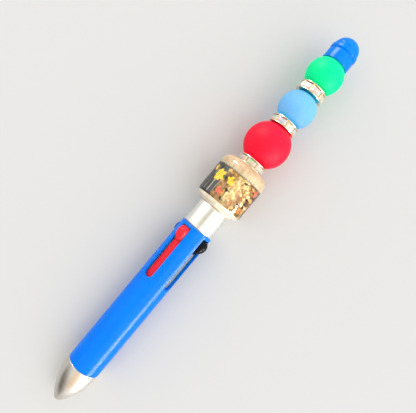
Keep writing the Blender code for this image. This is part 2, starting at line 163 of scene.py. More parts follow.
def fillet(corners, steps=5):
    """An outline whose corners (x, r, radius) are rounded as an arc of that radius would be."""
    outline = []
    count = len(corners)
    for i, corner in enumerate(corners):
        here = Vector(corner[:2])
        radius = corner[2] if len(corner) > 2 else 0.0
        if radius <= 0:
            outline.append((here.x, here.y))
            continue
        before = (Vector(corners[i - 1][:2]) - here)
        after = (Vector(corners[(i + 1) % count][:2]) - here)
        half = before.angle(after) / 2
        cut = min(radius / math.tan(half), before.length * 0.49, after.length * 0.49)
        start = here + before.normalized() * cut
        stop = here + after.normalized() * cut
        for k in range(steps + 1):
            t = k / steps
            point = start * (1 - t) ** 2 + here * 2 * t * (1 - t) + stop * t ** 2
            outline.append((point.x, point.y))
    return outline


def lathe(outline, segments, ripple=None):
    """A bmesh turned about X from a closed outline of (x, r). Points with r 0 lie on the axis.

    `ripple(x, angle, r)` gives the radius where it isn't the same all round, as on a thread.
    """
    shape = bmesh.new()
    rings = []
    for x, r in outline:
        if r <= 0:
            rings.append([shape.verts.new((x, 0, 0))] * segments)
            continue
        ring = []
        for k in range(segments):
            angle = 2 * math.pi * k / segments
            radius = ripple(x, angle, r) if ripple else r
            ring.append(shape.verts.new((x, radius * math.cos(angle), radius * math.sin(angle))))
        rings.append(ring)
    for first, second in zip(rings, rings[1:] + rings[:1]):
        for k in range(segments):
            following = (k + 1) % segments
            corners = (first[k], first[following], second[following], second[k])
            distinct = list(dict.fromkeys(corners))
            if len(distinct) > 2:
                shape.faces.new(distinct)
    bmesh.ops.recalc_face_normals(shape, faces=shape.faces)
    return shape


def turned(corners, segments, ripple=None):
    """A bmesh turned about X from corners that fillet() rounds."""
    return lathe(fillet(corners), segments, ripple)


def thread(front, rear, pitch, depth):
    """A ripple for lathe(): a screw thread between two places, fading out at both ends."""
    def radius(x, angle, r):
        inside = min(x - front, rear - x) / (pitch * 0.6)
        if inside <= 0:
            return r
        phase = (x / pitch - angle / (2 * math.pi)) % 1.0
        groove = 0.5 - 0.5 * math.cos(2 * math.pi * phase)
        return r - depth * groove * min(1.0, inside)
    return radius


def run(start, stop, steps):
    """Places from start to stop, both included."""
    return [start + (stop - start) * i / steps for i in range(steps + 1)]


def boolean(piece, other_shape, operation, turn=0.0):
    """Cuts or joins a bmesh, in pen coordinates turned about X, with a piece, and applies it."""
    other = place_shape("boolean_operand", other_shape, turn)
    step = piece.modifiers.new("boolean", "BOOLEAN")
    step.operation = operation
    step.solver = "EXACT"
    step.object = other
    mesh = evaluated_mesh(piece)
    piece.modifiers.clear()
    piece.data = mesh
    bpy.data.objects.remove(other, do_unlink=True)


def soften(piece, width, segments=3, angle=35.0):
    """Rounds a piece's sharp edges."""
    bevel = piece.modifiers.new("soften", "BEVEL")
    bevel.width = width
    bevel.segments = segments
    bevel.limit_method = "ANGLE"
    bevel.angle_limit = math.radians(angle)
    bevel.harden_normals = True
    bevel.miter_outer = "MITER_ARC"


def loft(rings):
    """A closed bmesh through rings of points, each ring with the same number of them."""
    shape = bmesh.new()
    made = [[shape.verts.new(p) for p in ring] for ring in rings]
    for first, second in zip(made, made[1:]):
        for k in range(len(first)):
            following = (k + 1) % len(first)
            shape.faces.new((first[k], first[following], second[following], second[k]))
    shape.faces.new(made[0])
    shape.faces.new(list(reversed(made[-1])))
    bmesh.ops.recalc_face_normals(shape, faces=shape.faces)
    return shape


# ---------------------------------------------------------------- materials

class Wiring:
    """The nodes of a material or a world, and what wires them up."""

    def __init__(self, owner):
        owner.use_nodes = True
        self.nodes = owner.node_tree.nodes
        self.links = owner.node_tree.links

    def feed(self, socket, value):
        """Links a socket to another node's output, or sets its value."""
        if isinstance(value, bpy.types.NodeSocket):
            self.links.new(value, socket)
        else:
            socket.default_value = value

    def node(self, kind, output, inputs, **settings):
        """Adds a node with its settings and its inputs, and gives one of its outputs."""
        node = self.nodes.new("ShaderNode" + kind)
        for setting, value in settings.items():
            setattr(node, setting, value)
        for key, value in inputs.items():
            self.feed(node.inputs[key], value)
        return node.outputs[output]

    def place(self, stretch=(1, 1, 1)):
        """Where a shaded point lies in pen coordinates, in metres, times `stretch`."""
        return self.node("Mapping", "Vector", {
            "Vector": self.node("TexCoord", "Object", {}),
            "Location": PEN.translation,
            "Rotation": PEN.to_euler(),
            "Scale": [1 / s for s in stretch],
        }, vector_type="TEXTURE")

    def along(self):
        """How far along the pen a shaded point lies."""
        return self.node("SeparateXYZ", "X", {"Vector": self.place()})

    def grain(self, scale, detail=3.0, stretch=(1, 1, 1)):
        """Noise in pen coordinates, `scale` features in a millimetre."""
        return self.node("TexNoise", "Fac", {
            "Vector": self.place(stretch),
            "Scale": scale / MM,
            "Detail": detail,
        })

    def ranged(self, source, low, high, start=0.3, stop=0.7):
        """A value carried from start..stop to low..high."""
        return self.node("MapRange", "Result", {
            "Value": source,
            "From Min": start,
            "From Max": stop,
            "To Min": low,
            "To Max": high,
        })

    def pair(self, operation, first, second):
        """Two values brought together by an arithmetic operation."""
        return self.node("Math", "Value", {0: first, 1: second}, operation=operation)

    def ramp(self, source, stops, interpolation="LINEAR"):
        """The colour that `source` picks from stops of (value, colour), in rising order."""
        picked = self.node("ValToRGB", "Color", {"Fac": source})
        colours = picked.node.color_ramp
        colours.interpolation = interpolation
        for element, (value, colour) in zip(colours.elements, (stops[0], stops[-1])):
            element.position = value
            element.color = (*colour, 1)
        for value, colour in stops[1:-1]:
            colours.elements.new(value).color = (*colour, 1)
        return picked

    def tinted(self, source, tint, share):
        """A colour carried towards a fixed tint by a share from 0 to 1."""
        return self.node("MixRGB", "Color", {"Fac": share, "Color1": source, "Color2": (*tint, 1)})


class Paint(Wiring):
    """A Principled material and its wiring."""

    def __init__(self, name, colour, roughness, metallic=0.0, **sockets):
        self.material = bpy.data.materials.new(name)
        super().__init__(self.material)
        self.shader = self.nodes["Principled BSDF"]
        self.set(Base_Color=(*colour, 1.0), Roughness=roughness, Metallic=metallic, **sockets)

    def set(self, **sockets):
        """Sets or links the shader's inputs, named with _ for each space."""
        for name, value in sockets.items():
            self.feed(self.shader.inputs[name.replace("_", " ")], value)

    def mottle(self, colour, texture, spread):
        """Lets the base colour wander round `colour` by `spread` with a texture's value."""
        darker = [c * (1 - spread) for c in colour]
        lighter = [min(1.0, c * (1 + spread) + spread * 0.02) for c in colour]
        self.set(Base_Color=self.ramp(texture, ((0.3, darker), (0.7, lighter))))

    def bump(self, height, strength, distance):
        inputs = {"Height": height, "Strength": strength, "Distance": distance}
        self.set(Normal=self.node("Bump", "Normal", inputs))


def moulded_plastic(name, colour, roughness=0.16, spread=0.05, coat=0.12, inside=0.3):
    """Glossy injection-moulded plastic: faint flow mottling, handling haze and orange peel."""
    paint = Paint(
        name,
        colour,
        roughness,
        Coat_Weight=coat,
        Coat_Roughness=0.17,
        Specular_IOR_Level=0.04,
        Subsurface_Weight=inside,
        Subsurface_Scale=1.2 * MM,
        Subsurface_Radius=[0.05 + c for c in colour],
    )
    paint.mottle(colour, paint.grain(0.12, 2.0, (0.4, 1, 1)), spread)
    haze = paint.grain(0.5, 5.0, (0.6, 1, 1))
    paint.set(Roughness=paint.ranged(haze, roughness * 0.7, roughness * 1.5))
    paint.bump(paint.grain(1.6, 2.0), 0.005, 0.004 * MM)
    return paint.material


def satin_metal(name, colour, roughness=0.27, spread=0.05):
    """Satin-plated metal with the fine rings that turning leaves."""
    paint = Paint(name, colour, roughness, 1.0)
    paint.mottle(colour, paint.grain(0.15), spread)
    rings = paint.grain(14.0, 2.0, (1, 0.02, 0.02))
    paint.set(Roughness=paint.ranged(rings, roughness * 0.8, roughness * 1.25))
    paint.bump(rings, 0.02, 0.01 * MM)
    return paint.material


def silicone(name, node, colour, deep):
    """Soft matt silicone, with painted shade as a deeper tone at the flat ends near the bore, its skin with a fine
    tooth and dust.
    """
    paint = Paint(
        name,
        colour,
        0.5,
        Subsurface_Weight=0.5,
        Subsurface_Scale=1.5 * MM,
        Subsurface_Radius=[0.15 + c for c in colour],
        Specular_IOR_Level=0.08,
    )
    dust = paint.grain(1.1, 8.0)
    speck = [c + (1 - c) * 0.08 for c in colour]
    darker = [c * 0.96 for c in colour]
    skin = paint.ramp(dust, ((0.25, darker), (0.6, colour), (0.84, speck)))
    # Painted shade: the colour deepens towards the deep tint over the last 1.3 mm at each flat end, where the bead
    # sits in shade beside its neighbours.
    front, rear, _ = span(node)
    painted_shade_reach = 1.3 * MM
    along = paint.along()
    painted_shade_near_bore = paint.pair(
        "MAXIMUM",
        paint.ranged(along, 1, 0, front, front + painted_shade_reach),
        paint.ranged(along, 0, 1, rear - painted_shade_reach, rear),
    )
    paint.set(
        Base_Color=paint.tinted(skin, deep, painted_shade_near_bore),
        Roughness=paint.ranged(dust, 0.42, 0.6),
    )
    paint.bump(paint.grain(7.0), 0.18, 0.02 * MM)
    return paint.material


def clear_resin(name):
    """Clear cast resin, faintly straw-coloured, that lets lamplight through to what it holds."""
    paint = Paint(
        name, (1.0, 0.98, 0.92), 0.03, Transmission_Weight=1.0, IOR=1.42, Specular_IOR_Level=0.3
    )
    paint.bump(paint.grain(0.25, 2.0), 0.15, 0.05 * MM)
    surface = paint.node("MixShader", "Shader", {
        "Fac": paint.node("LightPath", "Is Shadow Ray", {}),
        1: paint.shader.outputs["BSDF"],
        2: paint.node("BsdfTransparent", "BSDF", {"Color": (0.96, 0.94, 0.88, 1)}),
    })
    paint.feed(paint.nodes["Material Output"].inputs["Surface"], surface)
    return paint.material


def painted_reflection_stem(material, edge):
    """Turns a material grey in front of a place along the pen: a painted reflection of light on the black slider's
    stem.
    """
    wiring = Wiring(material)
    colour = wiring.nodes["Principled BSDF"].inputs["Base Color"]
    share = wiring.ranged(wiring.along(), 1, 0, edge - 0.1 * MM, edge)
    wiring.feed(colour, wiring.tinted(colour.links[0].from_socket, (0.3, 0.31, 0.34), share))
    return material


def crystal(name):
    """Foil-backed cut glass with a pastel rainbow coating that changes from facet to facet."""
    paint = Paint(
        name,
        (0.9, 0.9, 0.93),
        0.12,
        0.1,
        Coat_Weight=0.4,
        Coat_Roughness=0.03,
        Specular_IOR_Level=0.3,
    )
    cells = paint.node("TexVoronoi", "Color", {"Vector": paint.place(), "Scale": 0.9 / MM})
    tints = (
        (0.0, (0.76, 0.56, 0.28)),
        (0.2, (0.62, 0.62, 0.68)),
        (0.4, (0.7, 0.5, 0.5)),
        (0.55, (0.7, 0.62, 0.46)),
        (0.75, (0.5, 0.68, 0.38)),
        (0.9, (0.42, 0.58, 0.74)),
    )
    paint.set(Base_Color=paint.ramp(cells, tints, "EASE"))
    paint.bump(cells.node.outputs["Distance"], 0.25, 0.08 * MM)
    return paint.material


def foil(name, colour, dark, scale=0.7, stretch=(1, 1, 1), roughness=0.35, metallic=0.3):
    """Crumpled leaf metal, brighter on its ridges."""
    paint = Paint(name, colour, roughness, metallic)
    crumple = paint.grain(scale, 3.0, stretch)
    paint.set(Base_Color=paint.ramp(crumple, ((0.32, dark), (0.62, colour))))
    paint.bump(crumple, 0.3, 0.1 * MM)
    return paint.material


def petal(name, colour, vein):
    """A dried petal or leaf: dry, veined and uneven."""
    paint = Paint(name, colour, 0.6, Subsurface_Weight=0.1, Subsurface_Scale=0.5 * MM)
    veins = paint.grain(1.5, 6.0, (1, 3, 1))
    paint.set(Base_Color=paint.ramp(veins, ((0.35, vein), (0.6, colour))))
    paint.bump(veins, 0.4, 0.05 * MM)
    return paint.material


MATERIALS = {
    "nose": satin_metal("nose_satin_metal", (0.6, 0.57, 0.51), 0.3),
    "collar": satin_metal("collar_satin_metal", (0.8, 0.8, 0.75), 0.24),
    "barrel": moulded_plastic("barrel_blue_plastic", (0.0, 0.2, 0.92), 0.16),
    # The rails are a lighter blue than the barrel: painted light on the slot walls, which sit in shade.
    "rail": moulded_plastic("barrel_rail_plastic_painted_light", (0.02, 0.42, 1.0), 0.35),
    "red": moulded_plastic("slider_red_plastic", (0.95, 0.03, 0.05), 0.3),
    "blue": moulded_plastic("slider_blue_plastic", (0.0, 0.1, 0.5), 0.25),
    "green": moulded_plastic("slider_green_plastic", (0.0, 0.3, 0.08), 0.25),
    # The black slider's stem is painted grey in front of its knob, a painted reflection of light.
    "black": painted_reflection_stem(
        moulded_plastic("slider_black_plastic", (0.002, 0.002, 0.005), 0.14, 0.05, 0.15, 0.0),
        span("slider_black")[1] - 5.5 * MM,
    ),
    "cap": moulded_plastic("cap_blue_plastic", (0.0, 0.24, 0.9), 0.18),
    "guide": moulded_plastic("guide_white_plastic", (0.75, 0.75, 0.72), 0.45, 0.03, 0.0),
    "steel": satin_metal("rod_steel", (0.62, 0.61, 0.6), 0.2),
    "tube": moulded_plastic("refill_tube_plastic", (0.8, 0.82, 0.82), 0.3, 0.03, 0.0),
    "point": satin_metal("point_brass", (0.75, 0.6, 0.32), 0.2),
    "band": satin_metal("rondelle_metal", (0.8, 0.7, 0.5), 0.16),
    "crystal": crystal("rondelle_crystal"),
    "resin": clear_resin("clear_resin"),
    # The second colour of each silicone bead is painted shade that deepens its flat ends.
    "bead_red": silicone("red_silicone", "bead_red", (1.0, 0.012, 0.05), (0.9, 0.0, 0.03)),
    "bead_light_blue": silicone(
        "light_blue_silicone", "bead_light_blue", (0.19, 0.53, 1.0), (0.0, 0.42, 1.0)
    ),
    "bead_green": silicone(
        "green_silicone", "bead_green", (0.0, 0.95, 0.36), (0.0, 0.6, 0.25)
    ),
    "gold_foil": foil("gold_foil", (0.76, 0.5, 0.16), (0.42, 0.22, 0.05), 0.8, (0.4, 1, 1)),
    "pale_foil": foil("pale_foil", (0.82, 0.66, 0.3), (0.66, 0.44, 0.14), 0.8, (0.3, 1, 1)),
    "copper_foil": foil("copper_foil", (1.0, 0.5, 0.18), (0.6, 0.2, 0.04)),
    "prong": satin_metal("prong_antique_gold", (0.42, 0.28, 0.12), 0.25),
    "pearl": foil("resin_pearl_end", (0.85, 0.82, 0.76), (0.72, 0.56, 0.32)),
    "cream": foil(
        "resin_cream_end", (0.58, 0.51, 0.36), (0.34, 0.28, 0.17), 2.6, (0.12, 1, 1), 0.7, 0.0
    ),
    "pale_gold": satin_metal("sleeve_pale_gold", (0.85, 0.7, 0.4), 0.35),
    # Near-black film inside the resin: painted shade.
    "painted_shade_film": foil("painted_shade_film", (0.035, 0.035, 0.032), (0.012, 0.012, 0.01)),
    "fibre": foil("pale_fibre", (0.7, 0.7, 0.66), (0.25, 0.25, 0.22)),
    "yellow_petal": petal("yellow_petal", (1.0, 0.76, 0.0), (0.95, 0.45, 0.0)),
    "orange_petal": petal("orange_petal", (0.9, 0.36, 0.02), (0.5, 0.15, 0.0)),
    "red_petal": petal("red_petal", (0.95, 0.17, 0.06), (0.7, 0.07, 0.03)),
    "leaf": petal("dark_leaf", (0.05, 0.07, 0.015), (0.012, 0.015, 0.005)),
}


# ---------------------------------------------------------------- the pen's own pieces

def build_nose_cone():
    _, rear, reach = span("nose_cone")
    wall = 0.8 * MM
    socket = span("barrel")[0] - 0.3 * MM

    def outer(x):
        return NOSE_END + (reach - NOSE_END) * (1 - (1 - x / rear) ** 2.4)

    def inner(x):
        return min(outer(x) - wall, SPIGOT_BORE)

    shape = turned([
        (0.0, NOSE_HOLE, 0.08 * MM),
        (0.0, NOSE_END, 0.12 * MM),
        *[(x, outer(x)) for x in run(0.25 * MM, rear - 0.12 * MM, 44)],
        (rear, reach - 0.04 * MM, 0.06 * MM),
        (rear, NOSE_MOUTH, 0.1 * MM),
        (socket, NOSE_MOUTH),
        *[(x, inner(x)) for x in run(socket - 0.3 * MM, 2.4 * MM, 16)],
        (1.0 * MM, NOSE_HOLE),
    ], 128)
    add_piece("nose_cone_shell", shape, "nose", "nose_cone", replaces="nose_cone")


def slot_span(turn):
    """A slot's front and rear ends and its width, from the CAD barrel's corners round it.

    The slot is a little narrower than in the CAD model, to sit closer to its slider.
    """
    rear = span("barrel")[1] - 0.5 * MM
    edge = [
        p for p in pen_points("barrel", turn)
        if 20 * MM < p.x < rear and p.z > 3.5 * MM and abs(p.y) < 2.2 * MM
    ]
    places = [p.x for p in edge]
    width = 2 * max(abs(p.y) for p in edge)
    return min(places), max(places), width - SLOT_TRIM


def slot_cutter(front, rear, width):
    """An upright bar with a round front end, taller than the barrel's wall is thick."""
    half = width / 2
    outline = [(rear, -half), (rear, half)]
    steps = 24
    for i in range(steps + 1):
        angle = math.pi / 2 + math.pi * i / steps
        outline.append((front + half + half * math.cos(angle), half * math.sin(angle)))
    low = [(x, y, 3.0 * MM) for x, y in outline]
    high = [(x, y, 8.0 * MM) for x, y in outline]
    return loft([low, high])


def build_barrel():
    spigot, rear, reach = span("barrel")
    front = span("nose_cone")[1] + 0.1 * MM
    ripple = thread(spigot + 0.2 * MM, front - 0.3 * MM, 0.75 * MM, 0.22 * MM)
    shape = turned([
        (spigot, SPIGOT_BORE),
        (spigot, SPIGOT_REACH - 0.2 * MM),
        *[(x, SPIGOT_REACH) for x in run(spigot + 0.2 * MM, front - 0.25 * MM, 40)],
        (front, SPIGOT_REACH),
        (front, reach, 0.12 * MM),
        *[(x, reach) for x in run(front + 0.5 * MM, rear - 0.8 * MM, 40)],
        (rear, reach, 0.3 * MM),
        (rear, BARREL_BORE, 0.1 * MM),
        (front + 1.5 * MM, BARREL_BORE),
        (front + 0.6 * MM, SPIGOT_BORE),
    ], 128, ripple)
    barrel = add_piece("barrel_tube", shape, "barrel", "barrel",
                       replaces="barrel")
    for colour in COLOURS:
        turn = colour_turn(colour)[0]
        front_end, rear_end, width = slot_span(turn)
        boolean(barrel, slot_cutter(front_end, rear_end, width), "DIFFERENCE", turn)
        add_slot_rails(colour, turn, front_end + width / 2, rear_end, width)
    soften(barrel, 0.28 * MM, 4, 40.0)


def add_slot_rails(colour, turn, front, rear, width):
    """The two ribs under a slot's edges, inside the barrel, that guide the slider's stem."""
    rails = bmesh.new()
    for side in (-1, 1):
        rail = rounded_bar(front, rear, RAIL_THICK / 2, 3.85 * MM, 4.75 * MM, 0.06 * MM)
        merge(rails, offset_shape(rail, side * (width + RAIL_THICK) / 2, 0))
    # The rails' lighter blue is painted light on the shaded slot walls.
    add_piece("barrel_rails_" + colour, rails, "rail", "barrel", turn)


def knob_rings(front, peak, rear, foot, top, width):
    """A thumb knob's rings: pointed in front, crowned, steep behind."""
    rings = []
    stations = 28
    lowest = foot + 0.45 * MM
    for i in range(stations + 1):
        x = front + (rear - front) * i / stations
        if x <= peak:
            rise = math.sin(max(0.02, (x - front) / (peak - front)) * math.pi / 2)
            height = rise ** 0.7
            half = width / 2 * (0.45 + 0.55 * rise ** 0.6)
        else:
            fall = (x - peak) / (rear - peak)
            height = math.sqrt(max(0.0, 1 - 0.8 * fall ** 2.4))
            half = width / 2 * (1 - 0.06 * fall ** 2)
        summit = lowest + (top - lowest) * height
        crown = min(half * 0.95, (summit - foot) * 0.9)
        ring = [(x, half * 0.98, foot), (x, half, summit - crown)]
        for k in range(1, 14):
            angle = math.pi * k / 14
            flat = math.copysign(abs(math.cos(angle)) ** 0.9, math.cos(angle))
            ring.append((x, half * flat, summit - crown + crown * math.sin(angle) ** 0.9))
        ring += [(x, -half, summit - crown), (x, -half * 0.98, foot)]
        rings.append(ring)
    return rings


def rounded_bar(front, rear, half, low, high, radius):
    """A bar along X with rounded long edges and slightly drawn-in ends."""
    rings = []
    drawn_in = ((0.0, 0.18 * MM), (0.05 * MM, 0.07 * MM), (0.2 * MM, 0.0))
    stations = [(front + inset, shrink) for inset, shrink in drawn_in]
    stations += [(rear - inset, shrink) for inset, shrink in reversed(drawn_in)]
    for x, shrink in stations:
        ring = []
        for sy, sz, start in ((1, 1, 0), (-1, 1, 90), (-1, -1, 180), (1, -1, 270)):
            cy = sy * (half - radius)
            cz = (high - radius) if sz > 0 else (low + radius)
            for k in range(5):
                angle = math.radians(start + 22.5 * k)
                ring.append((
                    x,
                    cy + (radius - shrink) * math.cos(angle),
                    cz + (radius - shrink) * math.sin(angle),
                ))
        rings.append(ring)
    return loft(rings)


def offset_shape(shape, y, z):
    bmesh.ops.translate(shape, verts=shape.verts, vec=(0, y, z))
    return shape


def turn_shape(shape, angle):
    """Turns a bmesh about the pen axis."""
    bmesh.ops.rotate(shape, verts=shape.verts, cent=(0, 0, 0),
                     matrix=Matrix.Rotation(angle, 3, "X"))
    return shape


def merge(shape, other):
    """Adds another bmesh's faces to a bmesh as a separate body, and frees the other."""
    mesh = bpy.data.meshes.new("merged")
    other.to_mesh(mesh)
    other.free()
    shape.from_mesh(mesh)
    bpy.data.meshes.remove(mesh)


def build_slider(colour):
    turn, offset = colour_turn(colour)
    node = "slider_" + colour
    low, high = turned_span(node, turn)
    half = 1.55 * MM
    stem = rounded_bar(STEM_FRONT, high.x, half, 2.3 * MM, 4.35 * MM, 0.28 * MM)
    slider = add_piece(node + "_moulding", stem, colour, node, turn,
                       replaces=node)
    rings = knob_rings(high.x - 5.4 * MM, high.x - 2.1 * MM, high.x + 0.1 * MM, 3.8 * MM,
                       high.z, 3.2 * MM)
    boolean(slider, loft(rings), "UNION", turn)
    shoulder = turned([
        (STEM_FRONT - 1.0 * MM, 0.0),
        (STEM_FRONT - 1.0 * MM, half, 0.15 * MM),
        (STEM_FRONT + 0.5 * MM, half, 0.15 * MM),
        (STEM_FRONT + 0.5 * MM, 0.0),
    ], 48)
    boolean(slider, offset_shape(shoulder, 0, offset), "UNION", turn)
    peg = turned([
        (low.x, 0.0),
        (low.x, PEG_REACH, 0.2 * MM),
        (STEM_FRONT + 0.4 * MM, PEG_REACH),
        (STEM_FRONT + 0.4 * MM, 0.0),
    ], 32)
    boolean(slider, offset_shape(peg, 0, offset), "UNION", turn)
    soften(slider, 0.06 * MM, 2, 50.0)


def build_refill(colour):
    turn, offset = colour_turn(colour)
    body = "refill_" + colour
    tube_low, tube_high = turned_span("refill_tube_" + colour, turn)
    point_low, point_high = turned_span("refill_point_" + colour, turn)
    outer = 1.06 * MM
    bore = 0.75 * MM
    tube = turned([
        (tube_low.x, bore, 0.05 * MM),
        (tube_low.x, outer, 0.08 * MM),
        (tube_high.x, outer, 0.08 * MM),
        (tube_high.x, bore, 0.05 * MM),
    ], 48)
    add_piece("refill_tube_%s_skin" % colour, offset_shape(tube, 0, offset), "tube", body,
              turn, replaces="refill_tube_" + colour)
    head = 1.02 * MM
    neck = 0.64 * MM
    tip = point_low.x
    seat = tip + 5.0 * MM
    point = turned([
        (tip, 0.0),
        (tip + 0.06 * MM, 0.22 * MM),
        (tip + 0.25 * MM, 0.34 * MM),
        (tip + 0.45 * MM, 0.3 * MM),
        (tip + 0.6 * MM, 0.36 * MM, 0.05 * MM),
        (tip + 2.4 * MM, 0.42 * MM, 0.3 * MM),
        (tip + 3.8 * MM, 0.82 * MM, 0.1 * MM),
        (tip + 4.2 * MM, head, 0.1 * MM),
        (seat, head, 0.05 * MM),
        (seat, neck),
        (point_high.x, neck, 0.1 * MM),
        (point_high.x, 0.0),
    ], 48)
    add_piece("refill_point_%s_turned" % colour, offset_shape(point, 0, offset), "point", body,
              turn, replaces="refill_point_" + colour)


def build_spring(colour):
    """A return spring with closed end turns."""
    turn, offset = colour_turn(colour)
    node = "return_spring_" + colour
    low, high = turned_span(node, turn)
    radius = high.y - SPRING_WIRE
    front, rear = low.x + SPRING_WIRE, high.x - SPRING_WIRE
    curve = bpy.data.curves.new(node + "_wire", "CURVE")
    curve.dimensions = "3D"
    curve.bevel_depth = SPRING_WIRE
    curve.bevel_resolution = 3
    curve.use_fill_caps = True
    turns = 9.5
    count = 230
    line = curve.splines.new("POLY")
    line.points.add(count - 1)
    closed = 1.2 / turns
    dead = 2 * SPRING_WIRE * 1.2
    for i in range(count):
        share = i / (count - 1)
        angle = 2 * math.pi * turns * share
        middle = min(1.0, max(0.0, (share - closed) / (1 - 2 * closed)))
        place = front + dead * min(share, closed) / closed
        place += (rear - front - 2 * dead) * middle
        place += dead * max(0.0, share - 1 + closed) / closed
        line.points[i].co = (
            place, radius * math.cos(angle), offset + radius * math.sin(angle), 1.0
        )
    maker = add_object("spring_maker", curve)
    made = evaluated_mesh(maker)
    bpy.data.objects.remove(maker, do_unlink=True)
    shape = bmesh.new()
    shape.from_mesh(made)
    bmesh.ops.remove_doubles(shape, verts=shape.verts, dist=0.001 * MM)
    piece = add_piece(node + "_coil", shape, "steel", "barrel", turn, replaces=node)
    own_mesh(piece)


def keep_cad_nodes():
    """The guide core and spring seat stay as built, with rounded edges and their own finish."""
    for node in ("guide_core", "spring_seat"):
        piece = frame["nodes"][node]
        piece.data.materials.clear()
        piece.data.materials.append(MATERIALS["guide"])
        soften(piece, 0.08 * MM, 2, 35.0)


def build_collar():
    front, rear, reach = span("collar")
    inner = reach - 0.55 * MM
    floor = rear - 0.5 * MM
    shape = turned([
        (front, inner, 0.1 * MM),
        (front, reach, 0.14 * MM),
        (rear, reach, 0.3 * MM),
        (rear, BEAD_BORE, 0.1 * MM),
        (floor, BEAD_BORE, 0.1 * MM),
        (floor, inner, 0.2 * MM),
    ], 128)
    add_piece("collar_sleeve", shape, "collar", "barrel", replaces="collar")


def build_bead_rod():
    front, rear, reach = span("bead_rod")
    threaded = rear - 5.6 * MM
    front_chamfer = 0.25 * MM
    rear_chamfer = 0.3 * MM
    shape = lathe([
        (front, 0.0),
        (front, reach - front_chamfer),
        (front + front_chamfer, reach),
        (threaded, reach),
        *[(x, reach) for x in run(threaded + 0.1 * MM, rear - rear_chamfer, 90)],
        (rear, reach - rear_chamfer),
        (rear, 0.0),
    ], 48, thread(threaded, rear - 0.1 * MM, 0.45 * MM, 0.16 * MM))
    add_piece("bead_rod_threaded", shape, "steel", "barrel", replaces="bead_rod")


def build_silicone_bead(node):
    """A ball with flattened ends and a bore with a soft mouth."""
    front, rear, reach = span(node)
    middle = (front + rear) / 2
    limit = math.asin((rear - front) / 2 / reach)
    end = reach * math.cos(limit)
    corners = [(front, BEAD_BORE, 0.25 * MM), (front, end, 0.35 * MM)]
    for angle in run(-limit + 0.07, limit - 0.07, 64):
        corners.append((middle + reach * math.sin(angle), reach * math.cos(angle)))
    corners += [(rear, end, 0.35 * MM), (rear, BEAD_BORE, 0.25 * MM)]
    shape = turned(corners, 128)
    add_piece(node + "_ball", shape, node, node, replaces=node)


def build_end_cap():
    front, rear, reach = span("end_cap")
    seat = span("bead_green")[1] + 0.12 * MM
    bore_end = seat + 5.4 * MM
    ring_front = rear - 5.8 * MM
    ring_rear = rear - 3.9 * MM
    skirt = reach - 0.09 * MM
    dome = reach - 0.42 * MM
    crease = 0.3 * MM
    corners = [
        (seat, ROD_NECK_BORE, 0.1 * MM),
        (seat, 3.05 * MM, 0.3 * MM),
        (front, skirt - 0.16 * MM, 0.06 * MM),
        (front + 0.16 * MM, skirt, 0.1 * MM),
        (ring_front - 0.35 * MM, skirt - 0.04 * MM, 0.3 * MM),
        (ring_front, skirt - crease, 0.08 * MM),
        (ring_front + 0.3 * MM, reach, 0.3 * MM),
        (ring_rear - 0.45 * MM, reach - 0.02 * MM, 0.35 * MM),
        (ring_rear - 0.05 * MM, dome - 0.12 * MM, 0.06 * MM),
    ]
    for angle in run(0.1, math.pi / 2, 30):
        x = ring_rear + (rear - ring_rear) * math.sin(angle)
        corners.append((x, max(0.0, dome * math.cos(angle))))
    corners[-1] = (rear, 0.0)
    corners += [(bore_end, 0.0), (bore_end, ROD_NECK_BORE)]
    shape = turned(corners, 128)
    add_piece("end_cap_dome", shape, "cap", "end_cap", replaces="end_cap")


# ---------------------------------------------------------------- stone-set spacers

def stone_shape(low, high):
    """A cushion-cut stone: table, two rows of crown facets, girdle and a tapering pavilion."""
    middle = (low + high) / 2
    half_x = (high.x - low.x) / 2
    half_y = (high.y - low.y) / 2
    tall = high.z - low.z
    levels = (
        (0.0, 0.60, 0.60, 0.0),
        (0.45, 0.86, 0.96, 0.10),
        (0.72, 1.0, 1.0, 0.14),
        (0.80, 1.0, 1.0, 0.16),
        (0.93, 0.84, 0.82, 0.22),
        (1.0, 0.56, 0.56, 0.26),
    )
    rings = []
    for height, across, along, corner in levels:
        a = half_x * along
        b = half_y * across
        c = min(a, b) * corner
        z = low.z + tall * height
        outline = [(a, b - c), (a - c, b), (0, b), (c - a, b), (-a, b - c), (-a, 0), (-a, c - b),
                   (c - a, -b), (0, -b), (a - c, -b), (a, c - b), (a, 0)]
        rings.append([(middle.x + x, middle.y + y, z) for x, y in outline])
    return loft(rings)


def prong_shape(front, rear):
    """A thin bar with thicker ends, let into the flanges it runs between."""
    let_in = 0.1 * MM
    end_reach = 0.22 * MM
    end_length = 0.45 * MM
    return turned([
        (front - let_in, 0.0),
        (front - let_in, end_reach, 0.05 * MM),
        (front + end_length, end_reach, 0.05 * MM),
        ((front + rear) / 2, 0.17 * MM),
        (rear - end_length, end_reach, 0.05 * MM),
        (rear + let_in, end_reach, 0.05 * MM),
        (rear + let_in, 0.0),
    ], 16)


